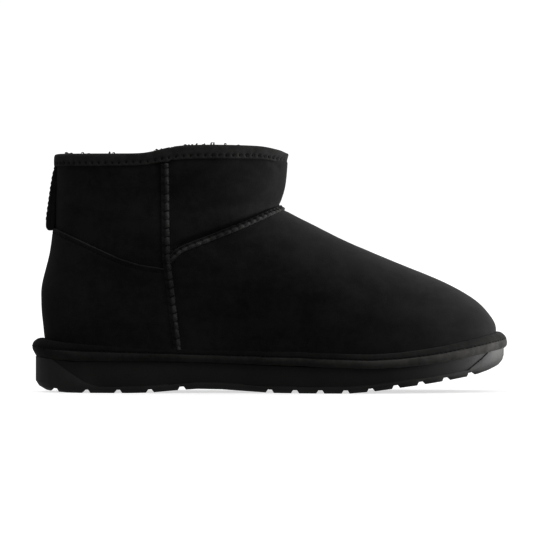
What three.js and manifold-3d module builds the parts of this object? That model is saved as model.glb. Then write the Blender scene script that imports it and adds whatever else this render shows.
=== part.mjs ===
// A sheepskin ankle boot for the right foot, in millimetres.
// +X runs from heel to toe, +Z is up and the outer side of the foot faces -Y. The boot stands on its
// tread at z = 0, and the origin is under the middle of its bounding box.
// The upper's outer face is one function of a height (v) and a turn round the boot (phi). The rows of
// SECTIONS are closed level outlines, and every other piece is taken from that function or from the
// lines of the sole.
import * as THREE from "three";
import { mergeVertices } from "three/addons/utils/BufferGeometryUtils.js";
import Module from "manifold-3d";

const wasm = await Module();
wasm.setup();

// Driving dimensions.
const LENGTH = 280; // over the rand, heel to toe
const BALL_WIDTH = 104; // over the rand at the ball of the foot
const HEIGHT = 138.4; // ground to the collar's cut edge at the back
const WALL = 8; // hide and fleece together
const COLLAR_WALL = 6; // the same, pressed flat under the binding
const COLLAR_TAPER = 3; // rows over which the wall thins towards the collar
const GAP = 0.3; // between pieces that are glued or sewn together

// Fineness of the faceted forms.
const AROUND = 56;
const ROW_STEP = 0.5;
const INNER_ROW_STEP = 1;

// Lines along the sole, seen from the side: heights in mm at shares of LENGTH from the heel.
// ground: underside of the tread. feather: top of the sole unit. roll: top of the rand.
const SOLE_LINES = [
  { at: 0.0, ground: 3.2, feather: 21.3, roll: 32.6 },
  { at: 0.04, ground: 1.0, feather: 19.6, roll: 30.8 },
  { at: 0.09, ground: 0.0, feather: 18.2, roll: 29.2 },
  { at: 0.22, ground: 0.0, feather: 18.2, roll: 27.4 },
  { at: 0.36, ground: 2.5, feather: 17.6, roll: 25.9 },
  { at: 0.53, ground: 0.0, feather: 15.6, roll: 24.2 },
  { at: 0.66, ground: 0.0, feather: 14.8, roll: 23.6 },
  { at: 0.76, ground: 2.9, feather: 15.8, roll: 25.0 },
  { at: 0.86, ground: 6.9, feather: 18.8, roll: 28.3 },
  { at: 0.94, ground: 11.4, feather: 23.2, roll: 32.6 },
  { at: 1.0, ground: 18.6, feather: 27.0, roll: 36.6 },
];

// Level outlines.
// back, front: ends of the outline, as shares of LENGTH from the heel.
// backRise, frontRise: heights of those ends over the feather line, as shares of HEIGHT.
// sole: how much of that line's sweep the level follows in between.
// rear, heel, waist, ball, toe: half-widths at STATIONS, as shares of BALL_WIDTH, before the ends close.
// bend: share of the foot's left-right bend.
// blunt: below 1, the ends of the outline are squarer than an ellipse.
const SECTIONS = [
  // back, backRise, front, frontRise, sole, rear, heel, waist, ball, toe, bend, blunt
  [0.038, 0.0, 0.968, 0.0, 1.0, 0.49, 0.404, 0.31, 0.468, 0.545, 1.0, 0.82],
  [0.031, 0.081, 0.977, 0.08, 0.95, 0.5, 0.41, 0.32, 0.472, 0.545, 1.0, 0.82],
  [0.0275, 0.147, 0.963, 0.142, 0.6, 0.505, 0.415, 0.34, 0.47, 0.52, 1.0, 0.82],
  [0.0245, 0.211, 0.935, 0.215, 0.3, 0.505, 0.418, 0.366, 0.462, 0.48, 1.0, 0.84],
  [0.0245, 0.284, 0.878, 0.308, 0.1, 0.495, 0.418, 0.388, 0.44, 0.43, 0.95, 0.87],
  [0.031, 0.348, 0.806, 0.389, 0.0, 0.48, 0.413, 0.4, 0.415, 0.4, 0.85, 0.9],
  [0.0395, 0.416, 0.718, 0.473, 0.0, 0.47, 0.41, 0.405, 0.395, 0.385, 0.75, 0.93],
  [0.045, 0.479, 0.642, 0.545, 0.0, 0.465, 0.41, 0.405, 0.385, 0.38, 0.65, 0.95],
  [0.048, 0.538, 0.582, 0.605, 0.0, 0.46, 0.408, 0.402, 0.385, 0.375, 0.5, 0.96],
  [0.0485, 0.59, 0.547, 0.637, 0.0, 0.455, 0.407, 0.4, 0.388, 0.375, 0.4, 0.96],
  [0.049, 0.64, 0.521, 0.676, 0.0, 0.452, 0.407, 0.4, 0.392, 0.38, 0.3, 0.96],
  [0.0495, 0.705, 0.53, 0.735, 0.0, 0.45, 0.408, 0.402, 0.397, 0.385, 0.25, 0.96],
  [0.05, 0.774, 0.535, 0.81, 0.0, 0.45, 0.41, 0.406, 0.402, 0.39, 0.2, 0.96],
  [0.0505, 0.86, 0.537, 0.885, 0.0, 0.452, 0.415, 0.412, 0.408, 0.395, 0.2, 0.96],
].map(([back, backRise, front, frontRise, sole, rear, heel, waist, ball, toe, bend, blunt]) => ({
  back, backRise, front, frontRise, sole, rear, heel, waist, ball, toe, bend, blunt,
}));
const TOP = SECTIONS.length - 1;

// Shares along an outline where its half-widths hold, and the foot's bend there in mm (+ inwards).
const STATIONS = [0, 0.2, 0.42, 0.68, 1];
const FOOT_BEND = [0, -0.5, -2.5, -2, 8];

// The outer side's collar line stands up over the front half of the opening.
const CREST_HEIGHT = 5.2;
const CREST = [
  { at: 0.0, lift: 0.0 },
  { at: 0.36, lift: 0.0 },
  { at: 0.54, lift: 0.9 },
  { at: 0.68, lift: 1.0 },
  { at: 0.88, lift: 0.9 },
  { at: 1.0, lift: 0.3 },
];
const CREST_FADE = 4; // rows below the collar over which the crest fades out
const INNER_CREST = 0.35; // share of the crest on the inner side of the foot

// Rand and outsole. RAND_OUTLINE is the boot's widest line: half-widths at STATIONS, as shares of BALL_WIDTH.
const RAND_OUTLINE = { rear: 0.575, heel: 0.456, waist: 0.357, ball: 0.529, toe: 0.587, blunt: 0.82 };
const SOLE_INSET = 2.8; // the sole's side stands this far inside the widest line
const SOLE_EDGE = 2.7; // rounding where the side meets the tread
const HEEL_ROUND = 3; // the rounding is this much longer at the back of the heel
// The rounding from the tread up. inset, rise: shares of SOLE_EDGE. heel: share of HEEL_ROUND.
const SOLE_ROUNDING = [
  { inset: 1, rise: 0, heel: 1 },
  { inset: 0.3, rise: 0.55, heel: 0.35 },
  { inset: 0, rise: 1.5, heel: 0 },
];

// The rolled face of the rand. rise: share of its height over the feather line. tuck: mm inside the
// widest line.
const RAND_PROFILE = [
  { rise: 0.0, tuck: 2.2 },
  { rise: 0.16, tuck: 0.8 },
  { rise: 0.42, tuck: 0.0 },
  { rise: 0.7, tuck: 0.9 },
  { rise: 0.92, tuck: 2.9 },
  { rise: 1.0, tuck: 4.8 },
];

// The bottom layer of the sole stands a little proud and climbs the back of the heel and the toe.
const LAYER_HEIGHT = 3.6;
const LAYER_PROUD = 0.6;
const HEEL_CLIMB = { from: 36, slope: -0.64 };
const TOE_CLIMB = { from: 256, slope: 0.55 };
const LAYER_STEP = 8;

// Tread: grooves straight across the sole under the heel and the forefoot. Places are shares of LENGTH.
const GROOVE_DEPTH = 1.9;
const GROOVE_MOUTH = 4.8;
const GROOVE_FLOOR = 2.4;
const GROOVE_SPAN = 2; // the ground's slope at a groove is taken over this far to either side
const GROOVES = [
  { first: 0.0505, step: 0.0665, count: 5 },
  { first: 0.4995, step: 0.0525, count: 9 },
];

// Heel counter, seen from the side: its stitched top edge from the back to the side seam.
const COUNTER_EDGE = [
  { x: -5, z: 94.5 },
  { x: 15, z: 94.3 },
  { x: 23, z: 91 },
  { x: 35, z: 84.9 },
  { x: 48, z: 78.6 },
  { x: 61, z: 74.5 },
  { x: 78.5, z: 70.3 },
];
const COUNTER_FRONT = 80.5; // where its top edge meets the side seam
const COUNTER_FOOT_FRONT = 84.5; // where it comes down beside that seam to the rand
const COUNTER_FOOT = 21.5; // its lower edge is cut off by the rand above this height
const COUNTER_THICK = 1;
const COUNTER_STEPS = 14; // straight lengths along the top edge

// Collar binding.
const BINDING_DROP = 6.2; // how far it reaches down either face
const BINDING_THICK = 1;
const BINDING_SHOULDER = 0.8; // its edges rise this share of its thickness over the cut edge

// Pull loop: a strip folded on itself, seen from the side.
const LOOP_WIDTH = 17;
const LOOP_PLY = 1.3;
const LOOP_TOP = 131.9;
const LOOP_FOLD = 97.8; // height of the fold's centre
const LOOP_REACH = 5.4; // depth of the fold from the shaft
const LOOP_SEWN = 6; // its two plies lie together over this height below the top
const LOOP_PRESS = 0.3; // how much thinner the two sewn plies are
const LOOP_SLIT = 0.5; // width of the gap between the plies where the sewing ends
const LOOP_CURVE_STEPS = 8;

// Insole: a flat bed whose upper edge is rounded over.
const INSOLE_THICK = 7;
const INSOLE_EDGE = [
  { inset: 0, rise: 0 },
  { inset: 0, rise: 0.7 },
  { inset: 2, rise: 1 },
];

const UNDERCUT = 10; // how far a filled form of the upper is carried on below the feather line

// A smooth curve through a few points that never runs past them (monotone cubic).
function smooth(xs, ys) {
  const n = xs.length;
  const step = xs.slice(1).map((x, i) => x - xs[i]);
  const slope = step.map((h, i) => (ys[i + 1] - ys[i]) / h);
  const tangent = xs.map((_, i) => {
    if (i === 0) return slope[0];
    if (i === n - 1) return slope[n - 2];
    if (slope[i - 1] * slope[i] <= 0) return 0;
    const before = 2 * step[i] + step[i - 1];
    const after = step[i] + 2 * step[i - 1];
    return (before + after) / (before / slope[i - 1] + after / slope[i]);
  });
  return (x) => {
    const at = Math.min(Math.max(x, xs[0]), xs[n - 1]);
    let i = 0;
    while (i < n - 2 && at > xs[i + 1]) i += 1;
    const t = (at - xs[i]) / step[i];
    const rise = t * t * (3 - 2 * t);
    return (
      ys[i] * (1 - rise) +
      ys[i + 1] * rise +
      step[i] * (tangent[i] * t * (1 - t) * (1 - t) - tangent[i + 1] * t * t * (1 - t))
    );
  };
}

// One column of a table as a smooth curve, over another column or over the row numbers.
const columnOf = (rows, key, over) => {
  const places = rows.map((row, i) => (over ? row[over] : i));
  return smooth(places, rows.map((row) => row[key]));
};
const soleLine = (key) => {
  const line = columnOf(SOLE_LINES, key, "at");
  return (x) => line(x / LENGTH);
};
const groundLine = soleLine("ground");
const featherLine = soleLine("feather");
const rollLine = soleLine("roll");
const footBend = smooth(STATIONS, FOOT_BEND);
const crestShape = columnOf(CREST, "lift", "at");
const sectionColumn = Object.fromEntries(
  Object.keys(SECTIONS[0]).map((key) => [key, columnOf(SECTIONS, key)]),
);

// Half an outline's width at share s of its length, closed at both ends.
function halfWidth({ rear, heel, waist, ball, toe, blunt }, s, phi) {
  const share = smooth(STATIONS, [rear, heel, waist, ball, toe])(s);
  return BALL_WIDTH * share * Math.abs(Math.sin(phi)) ** blunt;
}

// The upper's outer face at row v and turn phi: 0 is the back of the heel, PI the front, and the outer
// side of the foot lies between them.
function skin(v, phi) {
  const row = Object.fromEntries(Object.entries(sectionColumn).map(([key, at]) => [key, at(v)]));
  const s = (1 - Math.cos(phi)) / 2;
  const outer = Math.sin(phi) >= 0;
  const x = LENGTH * (row.back + (row.front - row.back) * s);
  const half = halfWidth(row, s, phi);
  const y = row.bend * footBend(s) + (outer ? -half : half);
  const foot = [row.back, row.front].map((share) => featherLine(LENGTH * share));
  const straight = foot[0] + (foot[1] - foot[0]) * s;
  const sweep = row.sole * (featherLine(x) - straight);
  const rise = HEIGHT * (row.backRise + (row.frontRise - row.backRise) * s);
  const crest = CREST_HEIGHT * crestShape(s) * (outer ? 1 : INNER_CREST);
  const fade = Math.max(0, 1 - (TOP - v) / CREST_FADE);
  const z = straight + sweep + GAP + rise + crest * fade * fade;
  return new THREE.Vector3(x, y, z);
}

// Outward normal of the skin. At the two cut edges it is kept level, so that a wall's edges are level too.
const NUDGE = { turn: 0.01, row: 0.02 }; // steps over which the slope is taken
function normal(v, phi) {
  const low = Math.max(0, v - NUDGE.row);
  const high = Math.min(TOP, v + NUDGE.row);
  const along = skin(v, phi + NUDGE.turn).sub(skin(v, phi - NUDGE.turn));
  const up = skin(high, phi).sub(skin(low, phi));
  const out = along.cross(up);
  if (v === 0 || v === TOP) out.z = 0;
  return out.normalize();
}

const offset = (v, phi, by) => skin(v, phi).addScaledVector(normal(v, phi), by);
const wallAt = (v) => WALL + (COLLAR_WALL - WALL) * smooth([TOP - COLLAR_TAPER, TOP], [0, 1])(v);

const turns = Array.from({ length: AROUND }, (_, i) => (2 * Math.PI * i) / AROUND);
const ringOf = (point) => turns.map(point);
const rowsBetween = (low, high, step = ROW_STEP) => {
  const count = Math.max(1, Math.round((high - low) / step));
  return Array.from({ length: count + 1 }, (_, i) => low + ((high - low) * i) / count);
};

// A mesh from closed rings of points. Rings run upwards on the outside. closed: the last ring joins the
// first. Otherwise both end rings are covered by strips straight across, from one side to the other.
function loft(rings, closed) {
  const n = AROUND;
  const positions = rings.flat().flatMap((p) => [p.x, p.y, p.z]);
  const faces = [];
  const last = closed ? rings.length : rings.length - 1;
  for (let r = 0; r < last; r += 1) {
    const low = r * n;
    const high = ((r + 1) % rings.length) * n;
    for (let i = 0; i < n; i += 1) {
      const j = (i + 1) % n;
      faces.push(low + i, low + j, high + j, low + i, high + j, high + i);
    }
  }
  if (!closed) {
    const cover = (base, down) => {
      for (let i = 0; i < n / 2; i += 1) {
        const corners = [i, i + 1, n - i - 1, (n - i) % n].map((k) => base + k);
        const [a, b, c, d] = corners;
        const pair = [[a, b, c], [a, c, d]].filter((t) => new Set(t).size === 3);
        pair.forEach((t) => faces.push(...(down ? t.reverse() : t)));
      }
    };
    cover(0, true);
    cover((rings.length - 1) * n, false);
  }
  const geometry = new THREE.BufferGeometry();
  geometry.setAttribute("position", new THREE.Float32BufferAttribute(positions, 3));
  geometry.setIndex(faces);
  return geometry;
}

// Between three.js geometries and manifold-3d solids.
function solid(geometry) {
  const bare = geometry.clone();
  bare.deleteAttribute("normal");
  bare.deleteAttribute("uv");
  const merged = mergeVertices(bare, 1e-4);
  return new wasm.Manifold(
    new wasm.Mesh({
      numProp: 3,
      vertProperties: new Float32Array(merged.attributes.position.array),
      triVerts: new Uint32Array(merged.index.array),
    }),
  );
}

function geometryOf(manifold) {
  const mesh = manifold.getMesh();
  const points = [];
  for (let i = 0; i < mesh.numVert; i += 1) {
    points.push(...mesh.vertProperties.slice(i * mesh.numProp, i * mesh.numProp + 3));
  }
  const geometry = new THREE.BufferGeometry();
  geometry.setAttribute("position", new THREE.Float32BufferAttribute(points, 3));
  geometry.setIndex(Array.from(mesh.triVerts));
  return geometry;
}

// The whole upper as a filled form, grown by a distance and carried on down through the sole.
function filledUpper(by) {
  const rings = rowsBetween(0, TOP).map((v) => ringOf((phi) => offset(v, phi, by)));
  const foot = rings[0].map((p) => new THREE.Vector3(p.x, p.y, p.z - UNDERCUT));
  return solid(loft([foot, ...rings], false));
}

function upper() {
  const face = (depth) => (v) => ringOf((phi) => offset(v, phi, -depth(v)));
  const outside = rowsBetween(0, TOP).map(face(() => 0));
  const inside = rowsBetween(0, TOP, INNER_ROW_STEP).map(face(wallAt)).reverse();
  return loft([...outside, ...inside], true);
}

// An outline of the sole, inset from the rand's widest line, at a height given by the place along the foot.
function soleRing(inset, height, heelInset = 0) {
  return ringOf((phi) => {
    const s = (1 - Math.cos(phi)) / 2;
    const start = inset + heelInset;
    const x = start + (LENGTH - inset - start) * s;
    const half = Math.max(0, halfWidth(RAND_OUTLINE, s, phi) - inset * Math.abs(Math.sin(phi)));
    const y = footBend(s) + (Math.sin(phi) >= 0 ? -half : half);
    return new THREE.Vector3(x, y, height(x));
  });
}

function soleBody(grow) {
  const side = SOLE_INSET - grow;
  const rings = SOLE_ROUNDING.map(({ inset, rise, heel }) =>
    soleRing(side + SOLE_EDGE * inset, (x) => groundLine(x) + SOLE_EDGE * rise, HEEL_ROUND * heel),
  );
  return solid(loft([...rings, soleRing(side, featherLine)], false));
}

// The bottom layer: a slightly larger sole, kept below its climbing top edge.
function bottomLayer() {
  const climb = ({ from, slope }, x) => Math.max(0, (x - from) * slope);
  const count = Math.round(LENGTH / LAYER_STEP);
  const edge = Array.from({ length: count + 1 }, (_, i) => {
    const x = LENGTH * (1 - i / count);
    return { x, z: groundLine(x) + LAYER_HEIGHT + climb(HEEL_CLIMB, x) + climb(TOE_CLIMB, x) };
  });
  return soleBody(LAYER_PROUD).intersect(slab([{ x: 0, z: -1 }, { x: LENGTH, z: -1 }, ...edge]));
}

function grooves() {
  // Below the tread the section goes on opening at the same slope.
  const below = GROOVE_MOUTH - GROOVE_FLOOR / 2;
  const section = [
    new THREE.Vector2(-below, -GROOVE_DEPTH),
    new THREE.Vector2(below, -GROOVE_DEPTH),
    new THREE.Vector2(GROOVE_FLOOR / 2, GROOVE_DEPTH),
    new THREE.Vector2(-GROOVE_FLOOR / 2, GROOVE_DEPTH),
  ];
  const row = ({ first, step, count }) => Array.from({ length: count }, (_, i) => first + i * step);
  const shape = new THREE.Shape(section);
  return GROOVES.flatMap(row).map((place) => {
    const x = place * LENGTH;
    const fall = groundLine(x - GROOVE_SPAN) - groundLine(x + GROOVE_SPAN);
    const cut = new THREE.ExtrudeGeometry(shape, { depth: 2 * BALL_WIDTH, bevelEnabled: false });
    cut.rotateX(Math.PI / 2);
    cut.rotateY(Math.atan2(fall, 2 * GROOVE_SPAN));
    cut.translate(x, BALL_WIDTH, groundLine(x));
    return solid(cut);
  });
}

function outsole() {
  const body = soleBody(0).add(bottomLayer());
  return geometryOf(grooves().reduce((sole, cut) => sole.subtract(cut), body));
}

// The rand as a filled form, grown by a distance.
function filledRand(grow) {
  const rings = RAND_PROFILE.map(({ rise, tuck }) => {
    const end = rise === 1 ? grow : rise === 0 ? -grow : 0;
    return soleRing(tuck - grow, (x) => {
      const foot = featherLine(x) + GAP;
      return foot + (rollLine(x) - foot) * rise + end;
    });
  });
  return solid(loft(rings, false));
}

const rand = () => geometryOf(filledRand(0).subtract(filledUpper(GAP)));

// A slab as wide as the boot with the given outline in the side view.
function slab(points) {
  const shape = new THREE.Shape(points.map(({ x, z }) => new THREE.Vector2(x, z)));
  const geometry = new THREE.ExtrudeGeometry(shape, { depth: 2 * BALL_WIDTH, bevelEnabled: false });
  geometry.rotateX(Math.PI / 2);
  geometry.translate(0, BALL_WIDTH, 0);
  return solid(geometry);
}

function heelCounter() {
  const edge = smooth(COUNTER_EDGE.map((p) => p.x), COUNTER_EDGE.map((p) => p.z));
  const start = COUNTER_EDGE[0].x;
  const top = Array.from({ length: COUNTER_STEPS + 1 }, (_, i) => {
    const x = COUNTER_FRONT - ((COUNTER_FRONT - start) * i) / COUNTER_STEPS;
    return { x, z: edge(x) };
  });
  const outline = [{ x: start, z: COUNTER_FOOT }, { x: COUNTER_FOOT_FRONT, z: COUNTER_FOOT }, ...top];
  const shell = filledUpper(GAP + COUNTER_THICK).subtract(filledUpper(GAP));
  return geometryOf(shell.intersect(slab(outline)).subtract(filledRand(GAP)));
}

// The binding: up the outside, over the cut edge, down the inside, and back along its own other face.
function collarBinding() {
  const reach = BINDING_DROP / (HEIGHT * (SECTIONS[TOP].backRise - SECTIONS[TOP - 1].backRise));
  const rows = rowsBetween(TOP - reach, TOP, reach / 2);
  const face = (v, by, lift) => ringOf((phi) => offset(v, phi, by).add(new THREE.Vector3(0, 0, lift)));
  const out = GAP + BINDING_THICK;
  const outside = (by) => rows.map((v) => face(v, by, by === GAP && v === TOP ? GAP : 0));
  const inside = (by) => rows.map((v) => face(v, -wallAt(v) - by, by === GAP && v === TOP ? GAP : 0));
  const rings = [
    ...outside(out),
    face(TOP, GAP, out * BINDING_SHOULDER),
    face(TOP, -COLLAR_WALL / 2, out),
    face(TOP, -COLLAR_WALL - GAP, out * BINDING_SHOULDER),
    ...inside(out).reverse(),
    ...inside(GAP),
    ...outside(GAP).reverse(),
  ];
  return loft(rings, true);
}

function pullLoop() {
  const shaft = LENGTH * SECTIONS[TOP - 5].back - GAP;
  const radius = LOOP_REACH / 2;
  const centre = shaft - radius;
  const outline = new THREE.Shape();
  outline.moveTo(shaft, LOOP_TOP);
  outline.lineTo(shaft - 2 * LOOP_PLY + LOOP_PRESS, LOOP_TOP);
  outline.lineTo(centre - radius, LOOP_FOLD);
  outline.absarc(centre, LOOP_FOLD, radius, Math.PI, 2 * Math.PI, false);
  outline.lineTo(shaft, LOOP_TOP);
  const hole = new THREE.Path();
  const inner = radius - LOOP_PLY;
  hole.moveTo(shaft - LOOP_PLY, LOOP_TOP - LOOP_SEWN);
  hole.lineTo(centre + inner, LOOP_FOLD);
  hole.absarc(centre, LOOP_FOLD, inner, 2 * Math.PI, Math.PI, true);
  hole.lineTo(shaft - LOOP_PLY - LOOP_SLIT, LOOP_TOP - LOOP_SEWN);
  outline.holes.push(hole);
  const geometry = new THREE.ExtrudeGeometry(outline, {
    depth: LOOP_WIDTH,
    bevelEnabled: false,
    curveSegments: LOOP_CURVE_STEPS,
  });
  geometry.rotateX(Math.PI / 2);
  geometry.translate(0, LOOP_WIDTH / 2, 0);
  return geometryOf(solid(geometry));
}

function insole() {
  const rings = INSOLE_EDGE.map(({ inset, rise }) => {
    const up = new THREE.Vector3(0, 0, INSOLE_THICK * rise);
    return ringOf((phi) => offset(0, phi, -(WALL + GAP + inset)).add(up));
  });
  return loft(rings, false);
}

// Assembly.
const suede = new THREE.MeshStandardMaterial({ name: "suede", color: 0x17171a, roughness: 0.95 });
const foam = new THREE.MeshStandardMaterial({ name: "sole foam", color: 0x1c1c1e, roughness: 0.8 });
const tape = new THREE.MeshStandardMaterial({ name: "tape", color: 0x141416, roughness: 0.85 });
const fleece = new THREE.MeshStandardMaterial({ name: "fleece", color: 0x0f0f10, roughness: 1 });

const boot = new THREE.Group();
const pieces = [
  ["outsole", outsole(), foam],
  ["rand", rand(), suede],
  ["upper", upper(), suede],
  ["heel_counter", heelCounter(), suede],
  ["collar_binding", collarBinding(), tape],
  ["pull_loop", pullLoop(), tape],
  ["insole", insole(), fleece],
];
for (const [name, geometry, material] of pieces) {
  const mesh = new THREE.Mesh(geometry, material);
  mesh.name = name;
  boot.add(mesh);
}
const box = new THREE.Box3().setFromObject(boot);
boot.position.set(-(box.min.x + box.max.x) / 2, -(box.min.y + box.max.y) / 2, -box.min.z);

export default boot;
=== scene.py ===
"""A sheepskin ankle boot for the right foot: its finish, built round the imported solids.

Metres. +X runs from heel to toe, +Z is up, and the outer side of the foot faces -Y.
"""

import math
import random

import bpy
import numpy as np
from mathutils import Matrix, Vector, noise
from mathutils.bvhtree import BVHTree
from mathutils.kdtree import KDTree


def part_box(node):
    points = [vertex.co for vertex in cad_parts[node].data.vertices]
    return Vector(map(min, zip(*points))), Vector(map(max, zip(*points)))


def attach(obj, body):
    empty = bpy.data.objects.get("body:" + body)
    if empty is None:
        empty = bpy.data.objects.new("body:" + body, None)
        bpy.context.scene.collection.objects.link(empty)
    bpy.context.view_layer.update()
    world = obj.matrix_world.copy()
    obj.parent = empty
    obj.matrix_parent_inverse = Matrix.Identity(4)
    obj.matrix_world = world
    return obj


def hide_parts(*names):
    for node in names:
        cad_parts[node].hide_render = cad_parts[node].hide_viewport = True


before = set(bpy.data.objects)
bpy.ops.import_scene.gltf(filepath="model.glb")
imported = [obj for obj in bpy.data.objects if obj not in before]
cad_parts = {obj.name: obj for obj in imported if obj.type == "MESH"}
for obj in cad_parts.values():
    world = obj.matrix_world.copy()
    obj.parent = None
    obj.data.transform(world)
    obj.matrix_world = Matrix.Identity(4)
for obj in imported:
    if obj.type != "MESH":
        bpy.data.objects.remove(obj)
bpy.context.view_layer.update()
bpy.ops.object.select_all(action="DESELECT")

MM = 0.001
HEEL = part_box("rand")[0].x  # everything along the foot is measured from the back of the rand
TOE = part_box("rand")[1].x
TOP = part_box("collar_binding")[1].z
HIDE = 1.8 * MM  # thickness of the suede
MERGE = 0.01 * MM  # corners closer than this are one corner
FAINT = 0.002  # a smaller weight counts as none
RAY = 0.25  # in metres: a ray towards the boot's middle starts this far out
BESIDE = 0.1  # in metres: clear of the boot's sides
BEHIND = -0.3  # in metres: clear of its back
AHEAD = 0.6 * MM  # a path's direction is taken over this far to either side

# Lines seen from the side: mm from the back of the rand, mm from the ground.
SIDE_SEAM = [(89.1, 5), (80.4, 80), (79.4, 155)]
VAMP_SEAM = [(60, 74.3), (290, 164.2)]
COUNTER_EDGE = [
    (0, 96.6), (14, 96.0), (21, 92.8), (33, 87.3), (43, 82.5), (54, 77.9), (64, 74.9), (90, 70.9),
]


# ---------------------------------------------------------------- making pieces

def only(*objects):
    """These objects are selected, the last one is active, and nothing else is."""
    bpy.ops.object.select_all(action="DESELECT")
    for o in objects:
        o.select_set(True)
        bpy.context.view_layer.objects.active = o


def edit(o, kind="FACE"):
    only(o)
    bpy.ops.object.mode_set(mode="EDIT")
    bpy.ops.mesh.select_mode(type=kind)
    bpy.ops.mesh.select_all(action="DESELECT")


def leave():
    bpy.ops.object.mode_set(mode="OBJECT")


def pick_faces(o, test):
    """In edit mode: the faces whose centre and normal pass the test are selected."""
    bpy.ops.object.mode_set(mode="OBJECT")
    for face in o.data.polygons:
        face.select = bool(test(face.center, face.normal))
    bpy.ops.object.mode_set(mode="EDIT")


def apply(o, kind, **settings):
    """Adds a modifier with these settings and applies it."""
    only(o)
    modifier = o.modifiers.new(kind.title(), kind)
    for name, value in settings.items():
        setattr(modifier, name, value)
    bpy.ops.object.modifier_apply(modifier=modifier.name)
    return o


def refine(o, levels):
    return apply(o, "SUBSURF", levels=levels, render_levels=levels)


def twin(o, name):
    """A copy with a mesh of its own."""
    new = o.copy()
    new.data = o.data.copy()
    new.name = name
    new.data.name = name
    for key in [k for k in new.keys() if k.startswith("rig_")]:
        del new[key]
    new.parent = None
    bpy.context.scene.collection.objects.link(new)
    new.hide_render = False
    new.hide_viewport = False
    return new


def merged_copy(node, name, pair=True):
    """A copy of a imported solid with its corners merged. pair joins its triangles into four-sided faces."""
    o = twin(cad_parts[node], name)
    o.data.materials.clear()
    edit(o)
    bpy.ops.mesh.select_all(action="SELECT")
    bpy.ops.mesh.remove_doubles(threshold=MERGE)
    if pair:
        bpy.ops.mesh.tris_convert_to_quads(face_threshold=math.pi, shape_threshold=math.pi)
    leave()
    if o.data.has_custom_normals:
        bpy.ops.mesh.customdata_custom_splitnormals_clear()
    return o


def loose_parts(o):
    """Splits a mesh into its separate shells, the largest first."""
    only(o)
    bpy.ops.mesh.separate(type="LOOSE")
    parts = list(bpy.context.selected_objects)
    return sorted(parts, key=lambda p: -p.dimensions.length)


def press(o, depth, weight, direction="NORMAL"):
    """Pushes the surface out by depth times weight(place), where the weight is from 0 to 1."""
    group = o.vertex_groups.new(name="press")
    for v in o.data.vertices:
        w = weight(v.co)
        if w > FAINT:
            group.add([v.index], min(w, 1.0), "REPLACE")
    apply(o, "DISPLACE", direction=direction, mid_level=0.0, strength=depth, vertex_group=group.name)
    o.vertex_groups.clear()
    return o


def dimple(o, spots, radius, depth):
    """A small pit in the surface at each spot, as where a stitch pulls it in."""
    tree = KDTree(len(spots))
    for k, spot in enumerate(spots):
        tree.insert(spot, k)
    tree.balance()
    return press(o, -depth, lambda p: bell(tree.find(p)[2], radius))


def smooth(o, angle=None):
    only(o)
    if angle is None:
        bpy.ops.object.shade_smooth()
    else:
        bpy.ops.object.shade_smooth_by_angle(angle=math.radians(angle))
    return o


def finish_piece(o, material, slot, *replaced):
    o.data.materials.clear()
    o.data.materials.append(material)
    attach(o, "root")
    if replaced:
        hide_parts(*replaced)
    return o


# ---------------------------------------------------------------- lines on the boot

def line_x(line, z):
    """Where a line that runs up the boot is at a height, in metres from the middle of the frame."""
    return HEEL + MM * float(np.interp(z / MM, [p[1] for p in line], [p[0] for p in line]))


def line_z(line, x):
    """How high a line that runs along the boot is at a place."""
    return MM * float(np.interp((x - HEEL) / MM, [p[0] for p in line], [p[1] for p in line]))


def blend(value, low, high):
    """0 below low, 1 above high, and smooth in between."""
    t = min(max((value - low) / (high - low), 0.0), 1.0)
    return t * t * (3 - 2 * t)


def bell(value, width):
    """1 at zero, falling smoothly to 0 at a distance of width."""
    return 1 - blend(abs(value), 0, width)


def score(o, line, shift=0.0, where=lambda c: True):
    """Cuts new edges into a piece under a line of the side view, where the test holds.

    shift moves the cut across the line.
    """
    for (x0, z0), (x1, z1) in zip(line, line[1:]):
        start = Vector((HEEL + x0 * MM, 0, z0 * MM))
        run = Vector((x1 - x0, 0, z1 - z0)) * MM
        across = Vector((-run.z, 0, run.x)).normalized()
        edit(o)
        pick_faces(o, lambda c, n: 0 <= (c - start).dot(run) <= run.length_squared and where(c))
        bpy.ops.mesh.bisect(plane_co=start + across * shift, plane_no=across, threshold=MERGE)
        leave()
    return o


def trim(o, keep):
    """Deletes the faces whose centre fails the test."""
    edit(o)
    pick_faces(o, lambda c, n: not keep(c))
    bpy.ops.mesh.delete(type="FACE")
    leave()
    return o


def square_up(o, around=56):
    """Dissolves the diagonals of a sheet of rings, so that it is a grid of four-sided faces.

    Rings are counted down from the collar, and places in a ring round from the back of the heel. around is
    how many places a ring has.
    """
    mesh = o.data
    half_way_up = 80 * MM
    uses = {}
    for face in mesh.polygons:
        for key in face.edge_keys:
            uses[key] = uses.get(key, 0) + 1
    near = [[] for _ in mesh.vertices]
    for a, b in uses:
        near[a].append(b)
        near[b].append(a)
    rim = {i for key, n in uses.items() if n == 1 for i in key if mesh.vertices[i].co.z > half_way_up}
    row, column = {}, {}
    ring, level = rim, 0
    while ring:
        points = {i: mesh.vertices[i].co for i in ring}
        xs = [p.x for p in points.values()]
        middle = (min(xs) + max(xs)) / 2
        turned = sorted(ring, key=lambda i: math.atan2(points[i].y, points[i].x - middle))
        start = turned.index(min(ring, key=lambda i: points[i].x))
        for k, i in enumerate(turned):
            row[i] = level
            column[i] = (k - start) % around
        level += 1
        ring = {j for i in ring for j in near[i] if j not in row}
    edit(o, "EDGE")
    leave()
    for e in mesh.edges:
        a, b = e.vertices
        e.select = row[a] != row[b] and column[a] != column[b]
    bpy.ops.object.mode_set(mode="EDIT")
    bpy.ops.mesh.dissolve_edges(use_verts=False)
    leave()
    return o


# ---------------------------------------------------------------- paths over a surface

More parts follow.
